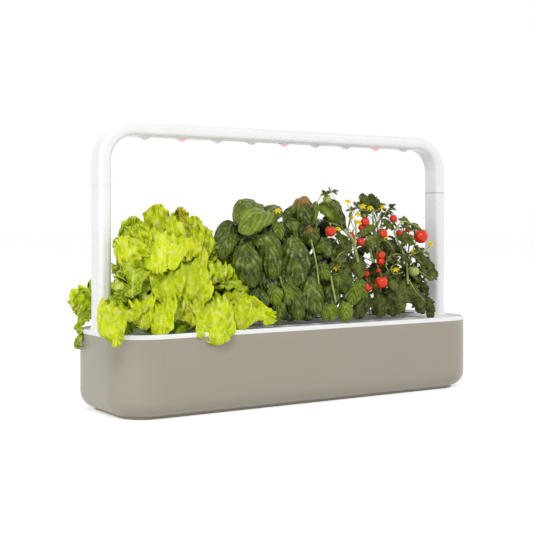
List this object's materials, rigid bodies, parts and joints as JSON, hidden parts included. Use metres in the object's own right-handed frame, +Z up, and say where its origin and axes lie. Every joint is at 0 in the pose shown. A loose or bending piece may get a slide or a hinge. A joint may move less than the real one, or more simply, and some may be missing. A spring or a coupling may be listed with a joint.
{
  "type": "countertop hydroponic garden",
  "caption": "Tabletop garden: a rounded water tank, a lift-off tray of planted pods and an arch-shaped grow lamp on two extension arms.",
  "frame": {"origin": "middle of the tank's flat underside, on the surface that the garden stands on", "axes": "+X along the garden towards its right end as seen from the front, +Y towards the back, +Z up"},
  "size_m": [0.6404, 0.1908, 0.4008],
  "materials": {
    "tank_plastic": "satin",
    "pad_rubber": "matt",
    "white_plastic": "glossy",
    "cover_plastic": "satin",
    "bezel_plastic": "satin",
    "float_foam": "matt",
    "stem_plastic": "glossy",
    "cup_plastic": "satin",
    "growing_medium": "rough",
    "lettuce_leaf": "crisp leaf",
    "basil_leaf": "glossy leaf",
    "tomato_leaf": "matt leaf",
    "tomato_fruit": "glossy skin",
    "clear_lens": "polished",
    "red_lens": "polished",
    "circuit_board": "lacquered",
    "led_chip": "glossy",
    "sink_aluminium": "brushed",
    "black_plastic": "satin",
    "screw_steel": "brushed",
    "lead_rubber": "matt"
  },
  "bodies": {
    "tank": {"water_tank": "tank_plastic", "anti_slip_pads": "pad_rubber"},
    "tray": {"grow_tray": "white_plastic", "gauge_cage": "white_plastic", "gauge_cap": "white_plastic"},
    "float": {"level_float": "float_foam", "level_stem": "stem_plastic"},
    "pod_lettuce_1": {"lettuce_1_cup": "cup_plastic", "lettuce_1_plug": "growing_medium", "lettuce_1": "lettuce_leaf", "lettuce_1_front_leaf": "lettuce_leaf", "lettuce_1_back_leaf": "lettuce_leaf"},
    "pod_lettuce_2": {"lettuce_2_cup": "cup_plastic", "lettuce_2_plug": "growing_medium", "lettuce_2": "lettuce_leaf"},
    "pod_lettuce_3": {"lettuce_3_cup": "cup_plastic", "lettuce_3_plug": "growing_medium", "lettuce_3": "lettuce_leaf"},
    "pod_basil_1": {"basil_1_cup": "cup_plastic", "basil_1_plug": "growing_medium", "basil_1": "basil_leaf"},
    "pod_basil_2": {"basil_2_cup": "cup_plastic", "basil_2_plug": "growing_medium", "basil_2": "basil_leaf"},
    "pod_basil_3": {"basil_3_cup": "cup_plastic", "basil_3_plug": "growing_medium", "basil_3": "basil_leaf"},
    "pod_tomato_1": {"tomato_1_cup": "cup_plastic", "tomato_1_plug": "growing_medium", "tomato_1": "tomato_leaf", "tomato_1_fruit": "tomato_fruit"},
    "pod_tomato_2": {"tomato_2_cup": "cup_plastic", "tomato_2_plug": "growing_medium", "tomato_2": "tomato_leaf", "tomato_2_fruit": "tomato_fruit"},
    "pod_tomato_3": {"tomato_3_cup": "cup_plastic", "tomato_3_plug": "growing_medium", "tomato_3": "tomato_leaf", "tomato_3_fruit": "tomato_fruit"},
    "left_arm": {"left_arm": "white_plastic"},
    "right_arm": {"right_arm": "white_plastic"},
    "lamp": {"lamp_housing": "white_plastic", "lamp_cover": "cover_plastic", "lens_bezels": "bezel_plastic", "clear_lenses": "clear_lens", "red_lenses": "red_lens", "led_board": "circuit_board", "leds": "led_chip", "heat_sink": "sink_aluminium", "driver_board": "circuit_board", "tact_switch": "black_plastic", "cover_screws": "screw_steel", "dc_inlet": "black_plastic", "power_lead": "lead_rubber"},
    "button": {"light_button": "white_plastic", "switch_plunger": "screw_steel"}
  },
  "joints": [
    {"name": "tray_lift", "type": "slide", "parent": "tank", "child": "tray", "axis": [0, 0, 1], "range_m": [0, 0.08]},
    {"name": "float_rise", "type": "slide", "parent": "tray", "child": "float", "axis": [0, 0, 1], "range_m": [0, 0.03]},
    {"name": "lettuce_1_lift", "type": "slide", "parent": "tray", "child": "pod_lettuce_1", "axis": [0, 0, 1], "range_m": [0, 0.055]},
    {"name": "lettuce_2_lift", "type": "slide", "parent": "tray", "child": "pod_lettuce_2", "axis": [0, 0, 1], "range_m": [0, 0.055]},
    {"name": "lettuce_3_lift", "type": "slide", "parent": "tray", "child": "pod_lettuce_3", "axis": [0, 0, 1], "range_m": [0, 0.055]},
    {"name": "basil_1_lift", "type": "slide", "parent": "tray", "child": "pod_basil_1", "axis": [0, 0, 1], "range_m": [0, 0.055]},
    {"name": "basil_2_lift", "type": "slide", "parent": "tray", "child": "pod_basil_2", "axis": [0, 0, 1], "range_m": [0, 0.055]},
    {"name": "basil_3_lift", "type": "slide", "parent": "tray", "child": "pod_basil_3", "axis": [0, 0, 1], "range_m": [0, 0.055]},
    {"name": "tomato_1_lift", "type": "slide", "parent": "tray", "child": "pod_tomato_1", "axis": [0, 0, 1], "range_m": [0, 0.055]},
    {"name": "tomato_2_lift", "type": "slide", "parent": "tray", "child": "pod_tomato_2", "axis": [0, 0, 1], "range_m": [0, 0.055]},
    {"name": "tomato_3_lift", "type": "slide", "parent": "tray", "child": "pod_tomato_3", "axis": [0, 0, 1], "range_m": [0, 0.055]},
    {"name": "left_arm_lift", "type": "slide", "parent": "tray", "child": "left_arm", "axis": [0, 0, 1], "range_m": [0, 0.025]},
    {"name": "right_arm_lift", "type": "slide", "parent": "tray", "child": "right_arm", "axis": [0, 0, 1], "range_m": [0, 0.025]},
    {"name": "lamp_lift", "type": "slide", "parent": "left_arm", "child": "lamp", "axis": [0, 0, 1], "range_m": [0, 0.025]},
    {"name": "button_press", "type": "slide", "parent": "lamp", "child": "button", "axis": [0, 0, -1], "range_m": [0, 0.0006], "stiffness_N_per_m": 1500}
  ],
  "couplings": [
    {"joint": "right_arm_lift", "follows": "left_arm_lift", "ratio": 1}
  ]
}
